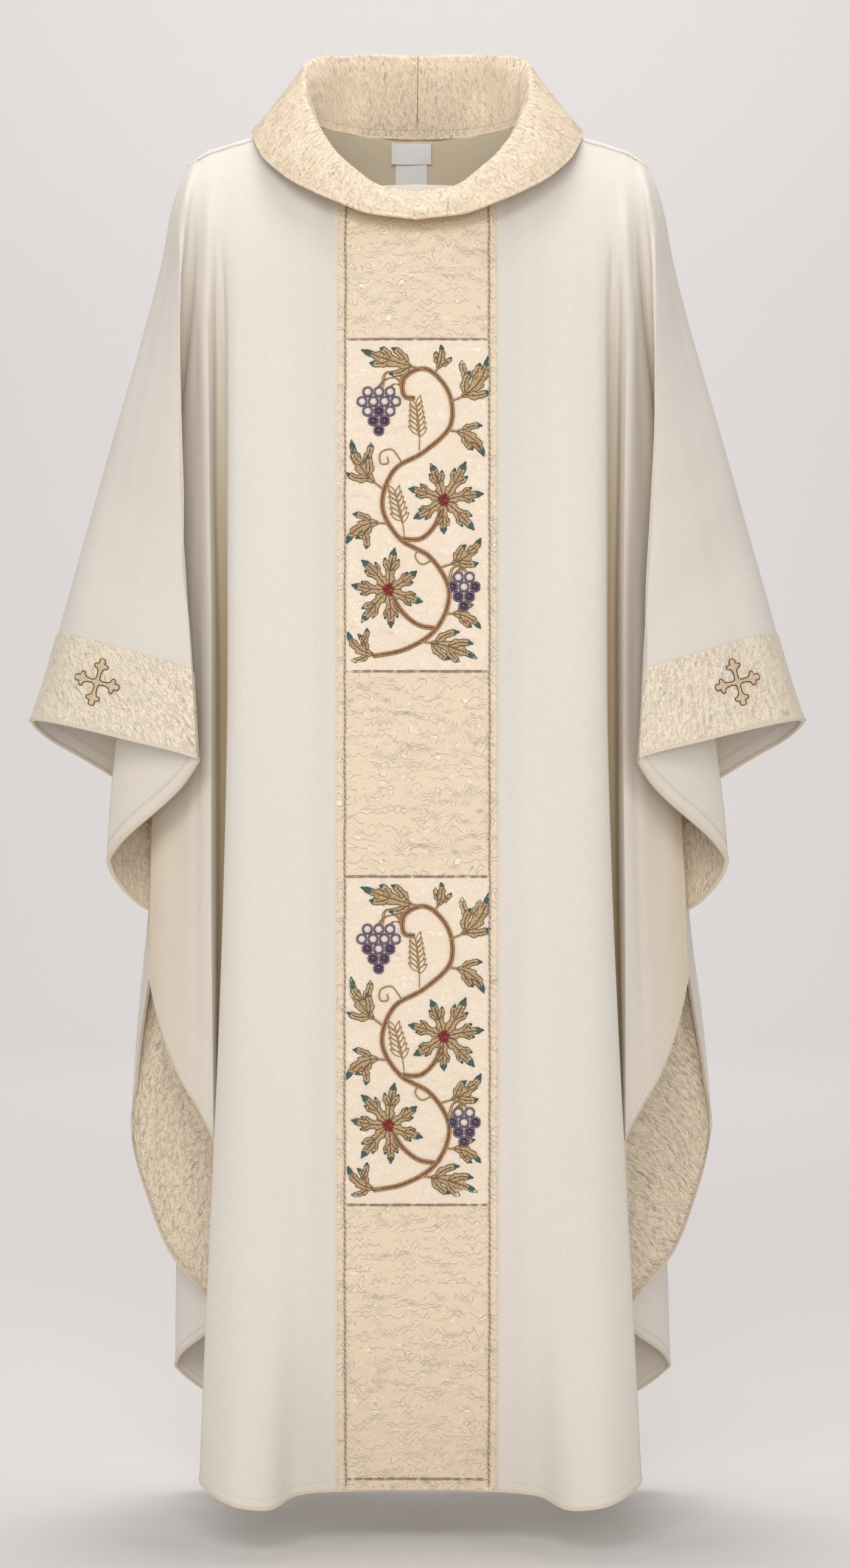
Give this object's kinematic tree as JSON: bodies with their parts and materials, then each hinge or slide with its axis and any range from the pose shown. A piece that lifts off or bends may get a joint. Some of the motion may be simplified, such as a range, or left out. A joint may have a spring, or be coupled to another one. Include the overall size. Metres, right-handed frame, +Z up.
{
  "type": "chasuble",
  "caption": "Wide ivory chasuble with a brocade stand-away collar, a central brocade orphrey with embroidered vines, brocade cuff bands with crosses and cascading sides",
  "frame": {"origin": "the middle of the neck at shoulder height, where the wearer's neck carries the garment", "axes": "+X to the left of the wearer, +Y to the back, +Z up; the front faces -Y"},
  "size_m": [0.7634, 0.3318, 1.4212],
  "materials": {
    "front": "fine plain weave, soft matt",
    "back": "fine plain weave, soft matt",
    "collar": "brocade with a soft sheen",
    "front_neck_facing": "plain weave",
    "orphrey_top": "brocade with a soft sheen",
    "orphrey_vine_upper": "brocade with embroidery",
    "orphrey_middle": "brocade with a soft sheen",
    "orphrey_vine_lower": "brocade with embroidery",
    "orphrey_bottom": "brocade with a soft sheen",
    "orphrey_hem": "brocade with a soft sheen",
    "orphrey_border": "brocade edge",
    "braid": "thin corded braid",
    "cuff": "brocade with a soft sheen",
    "cuff_cross": "satin stitch",
    "back_facing": "brocade with a soft sheen",
    "label": "woven satin, bare"
  },
  "bodies": {
    "root": {"front": "front", "back": "back", "collar": "collar", "front_neck_facing": "front_neck_facing", "orphrey_top": "orphrey_top", "orphrey_vine_upper": "orphrey_vine_upper", "orphrey_middle": "orphrey_middle", "orphrey_vine_lower": "orphrey_vine_lower", "orphrey_bottom": "orphrey_bottom", "orphrey_hem": "orphrey_hem", "orphrey_border_left": "orphrey_border", "orphrey_border_right": "orphrey_border", "orphrey_braid_left": "braid", "orphrey_braid_right": "braid", "orphrey_cross_braid_1": "braid", "orphrey_cross_braid_2": "braid", "orphrey_cross_braid_3": "braid", "orphrey_cross_braid_4": "braid", "orphrey_cross_braid_5": "braid", "cuff_front_left": "cuff", "cuff_front_right": "cuff", "cuff_back_left": "cuff", "cuff_back_right": "cuff", "cuff_cross_left": "cuff_cross", "cuff_cross_right": "cuff_cross", "back_facing_left": "back_facing", "back_facing_right": "back_facing", "label_upper": "label", "label_lower": "label"}
  },
  "joints": []
}
